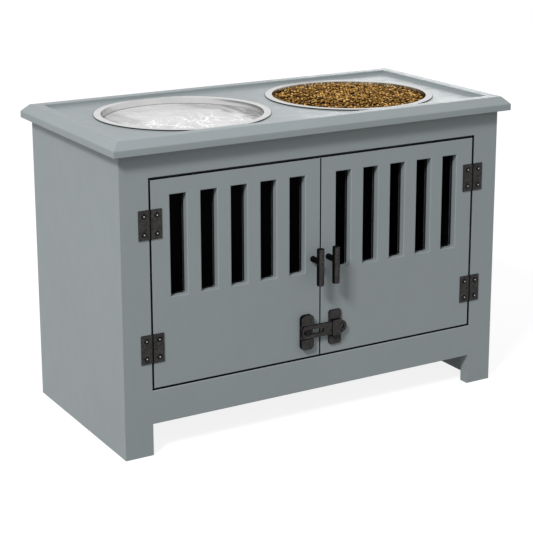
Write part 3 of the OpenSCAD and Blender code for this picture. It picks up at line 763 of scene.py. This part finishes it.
def make_water(centre):
    """A rippled sheet of water, a little under the bowl's rim."""
    level = -8.6 * MM
    reach = MOUTH + level * LEAN - 0.25 * MM
    bm = bmesh.new()
    rings = []
    rows, count = 40, 96
    for k in range(1, rows + 1):
        r = reach * k / rows
        ring = []
        for j in range(count):
            angle = 2 * math.pi * j / count
            x, y = r * math.cos(angle), r * math.sin(angle)
            wave = (noise.noise(Vector((x * 26, y * 26, 0.4)))
                    + 0.6 * noise.noise(Vector((x * 70, y * 70, 2.1))))
            # The water climbs a little at the wall.
            climb = max(0.0, (r / reach - 0.955) / 0.045) ** 2
            lift = wave * 0.35 * MM + climb * 0.9 * MM
            ring.append(bm.verts.new((centre.x + x, centre.y + y, centre.z + level + lift)))
        rings.append(ring)
    top = bm.verts.new((centre.x, centre.y, centre.z + level))
    for j in range(count):
        bm.faces.new((top, rings[0][j], rings[0][(j + 1) % count]))
        for a, b in zip(rings, rings[1:]):
            bm.faces.new((a[j], b[j], b[(j + 1) % count], a[(j + 1) % count]))
    new_object("water", finish_mesh(bm, "water", water_looks(centre, reach)), "left_bowl")


def mound(x, y, centre):
    """Height of the dry food, which lies just under the rim and rises a little in the middle."""
    r = min(1.0, math.hypot(x, y) / MOUTH)
    swell = noise.noise(Vector((x * 22, y * 22, 5.0))) * 1.4 * MM
    return centre.z - 5.0 * MM + 6.4 * MM * (1 - r ** 3) + swell * (1 - 0.5 * r)


def pellet_looks():
    """Brown pellets, each in a tone of its own."""
    material, t, shader, place = surface("dry_food")
    island = t.add("ShaderNodeNewGeometry").outputs["Random Per Island"]
    tone = t.ramp(island, [(0.0, srgb(78, 50, 13)), (0.3, srgb(118, 82, 26)),
                           (0.65, srgb(154, 112, 44)), (1.0, srgb(214, 170, 98))])
    crumb = t.noise(place, 900.0, 4.0, 0.65)
    dark = t.span(crumb, 0.3, 0.6, 0.72, 1.0)
    # Painted light and shade: tops are painted lighter and flanks darker, as in a deeper and closer
    # heap.
    painted_light_and_shade = t.span(t.own_normal()[2], 0.1, 0.8, 0.10, 1.27)
    shade = t.add("ShaderNodeVectorMath", operation="SCALE")
    t.link(tone, shade.inputs[0])
    t.link(t.math("MULTIPLY", dark, painted_light_and_shade), shade.inputs["Scale"])
    t.link(shade.outputs[0], shader.inputs["Base Color"])
    t.link(t.span(crumb, 0.3, 0.7, 0.62, 0.5), shader.inputs["Roughness"])
    shader.inputs["Specular IOR Level"].default_value = 0.15
    t.link(t.bump(crumb, 0.5, 0.0006), shader.inputs["Normal"])
    return material


def make_pellets(centre):
    """Loose pellets in two layers."""
    rng = random.Random(7)
    verts, faces = [], []
    sides = 8
    # A pellet's profile from its top to its bottom, as radius and height.
    shape = [(0.0, 0.78), (0.62, 0.66), (1.0, 0.2), (0.97, -0.28), (0.6, -0.7), (0.0, -0.8)]

    def pellet(place, size):
        turn = Matrix.Rotation(rng.uniform(0, 6.28), 3, "Z")
        tilt = (Matrix.Rotation(rng.gauss(0, 0.5), 3, "X")
                @ Matrix.Rotation(rng.gauss(0, 0.5), 3, "Y"))
        wide = rng.uniform(1.15, 1.5)
        thick = rng.uniform(0.75, 1.1)
        seed = rng.uniform(0, 50)
        first = len(verts)
        for r, h in shape:
            for j in range(sides if r else 1):
                angle = 2 * math.pi * j / sides
                p = Vector((r * math.cos(angle) * wide, r * math.sin(angle) / wide, h * thick))
                p *= 1 + 0.14 * noise.noise(p * 1.7 + Vector((seed, 0, 0)))
                verts.append(place + turn @ (tilt @ p) * size)
        # Where each level of the profile starts among the vertices.
        levels = [first] + [first + 1 + sides * i for i in range(5)]
        for j in range(sides):
            k = (j + 1) % sides
            faces.append((levels[0], levels[1] + j, levels[1] + k))
            for a, b in zip(levels[1:4], levels[2:5]):
                faces.append((a + j, b + j, b + k, a + k))
            faces.append((levels[4] + j, levels[5], levels[4] + k))

    # The rows of a triangular grid lie closer together than its points.
    row = 0.866
    stray = 1.3 * MM
    for drop, space in ((0.0, 5.1 * MM), (3.0 * MM, 5.4 * MM)):
        rows = int(MOUTH / (space * row)) + 1
        for i in range(-rows, rows + 1):
            for j in range(-rows - 2, rows + 3):
                x = (j + 0.5 * (i % 2)) * space + rng.uniform(-1, 1) * stray
                y = i * space * row + rng.uniform(-1, 1) * stray
                size = rng.uniform(1.75, 2.4) * MM
                z = mound(x, y, centre) - drop + rng.uniform(-2.2, 1.1) * MM - size * 0.5
                room = MOUTH + (z - centre.z) * LEAN - size * 1.15
                if math.hypot(x, y) < room:
                    pellet(Vector((centre.x + x, centre.y + y, min(z, centre.z + 0.2 * MM))), size)
    mesh = bpy.data.meshes.new("dry_food")
    mesh.from_pydata(verts, [], faces)
    mesh.update()
    for polygon in mesh.polygons:
        polygon.use_smooth = True
    mesh.materials.append(pellet_looks())
    new_object("dry_food", mesh, "right_bowl")


def make_bed(centre):
    """A mound under the pellets, which closes the gaps between them and is painted near-black for
    the shade down in them.
    """
    bm = bmesh.new()
    rows, count = 12, 64
    rings = []
    for k in range(rows + 1):
        r = (MOUTH - 4 * MM) * k / rows
        ring = []
        for j in range(count if k else 1):
            angle = 2 * math.pi * j / count
            x, y = r * math.cos(angle), r * math.sin(angle)
            z = mound(x, y, centre) - 4.2 * MM
            ring.append(bm.verts.new((centre.x + x, centre.y + y, z)))
        rings.append(ring)
    for j in range(count):
        k = (j + 1) % count
        bm.faces.new((rings[0][0], rings[1][j], rings[1][k]))
        for a, b in zip(rings[1:], rings[2:]):
            bm.faces.new((a[j], b[j], b[k], a[k]))
    # Painted shade: the mound's near-black brown stands for the shaded food deep in the gaps.
    material, t, shader, place = surface("dry_food_bed")
    grain = t.noise(place, 260.0, 3.0)
    t.link(t.ramp(grain, [(0.35, srgb(16, 10, 4)), (0.65, srgb(40, 26, 10))]),
           shader.inputs["Base Color"])
    shader.inputs["Roughness"].default_value = 0.8
    t.link(t.bump(grain, 0.8, 0.002), shader.inputs["Normal"])
    new_object("dry_food_bed", finish_mesh(bm, "dry_food_bed", material), "right_bowl")


make_water(bowls["left"])
make_pellets(bowls["right"])
make_bed(bowls["right"])


# ---------------------------------------------------------------- stage and light
def make_floor():
    """A floor that catches the shadow and looks white."""
    mesh = bpy.data.meshes.new("floor")
    bm = bmesh.new()
    bmesh.ops.create_grid(bm, x_segments=2, y_segments=2, size=9.0)
    bm.to_mesh(mesh)
    bm.free()
    item = new_object("floor", mesh)
    material = bpy.data.materials.new("floor")
    t = Tree(material)
    matte = t.add("ShaderNodeBsdfDiffuse")
    matte.inputs["Color"].default_value = (0.22, 0.22, 0.22, 1)
    glow = t.add("ShaderNodeEmission")
    glow.inputs["Color"].default_value = (1, 1, 1, 1)
    t.link(t.math("MULTIPLY", t.seen(), 0.86), glow.inputs["Strength"])
    both = t.add("ShaderNodeAddShader")
    out = t.add("ShaderNodeOutputMaterial")
    t.link(matte.outputs[0], both.inputs[0])
    t.link(glow.outputs[0], both.inputs[1])
    t.link(both.outputs[0], out.inputs[0])
    mesh.materials.append(material)


def make_world():
    """Even surroundings that light the object plainly and look white."""
    world = bpy.data.worlds.new("studio")
    bpy.context.scene.world = world
    t = Tree(world)
    lit = t.add("ShaderNodeBackground")
    lit.inputs["Color"].default_value = (1, 1, 1, 1)
    lit.inputs["Strength"].default_value = 0.56
    white = t.add("ShaderNodeBackground")
    white.inputs["Color"].default_value = (1, 1, 1, 1)
    white.inputs["Strength"].default_value = 1.0
    pick = t.add("ShaderNodeMixShader")
    out = t.add("ShaderNodeOutputWorld")
    t.link(t.seen(), pick.inputs[0])
    t.link(lit.outputs[0], pick.inputs[1])
    t.link(white.outputs[0], pick.inputs[2])
    t.link(pick.outputs[0], out.inputs[0])


def lamp(name, place, aim, size, power):
    data = bpy.data.lights.new(name, "AREA")
    data.shape = "RECTANGLE"
    data.size, data.size_y = size
    data.energy = power
    item = bpy.data.objects.new(name, data)
    bpy.context.scene.collection.objects.link(item)
    item.location = place
    item.rotation_euler = (Vector(aim) - Vector(place)).to_track_quat("-Z", "Y").to_euler()
    return item


make_floor()
make_world()
middle = Vector((0, 0, 0.22))
towards_key = Vector((-0.610, -0.440, 0.659))
key = lamp("key", place=middle + 5.0 * towards_key, aim=middle, size=(0.9, 0.9), power=198)
# A low lamp behind the table gives the satin paint its sheen. It reaches the painted boards only.
sheen = lamp("sheen", place=(2.72, 3.06, 1.15), aim=(0.15, 0, 0.41), size=(1.4, 0.8), power=16.5)
lit_boards = bpy.data.collections.new("lit_boards")
for item in bpy.data.objects:
    if item.name.startswith("painted_"):
        lit_boards.objects.link(item)
sheen.light_linking.receiver_collection = lit_boards
# The key lamp skips the left bowl, where its mirror image would be a bright blob.
key_set = bpy.data.collections.new("key_set")
for item in bpy.data.objects:
    if item.type == "MESH" and item.name != "bowl_left":
        key_set.objects.link(item)
key.light_linking.receiver_collection = key_set

bpy.context.scene.view_settings.view_transform = "Standard"
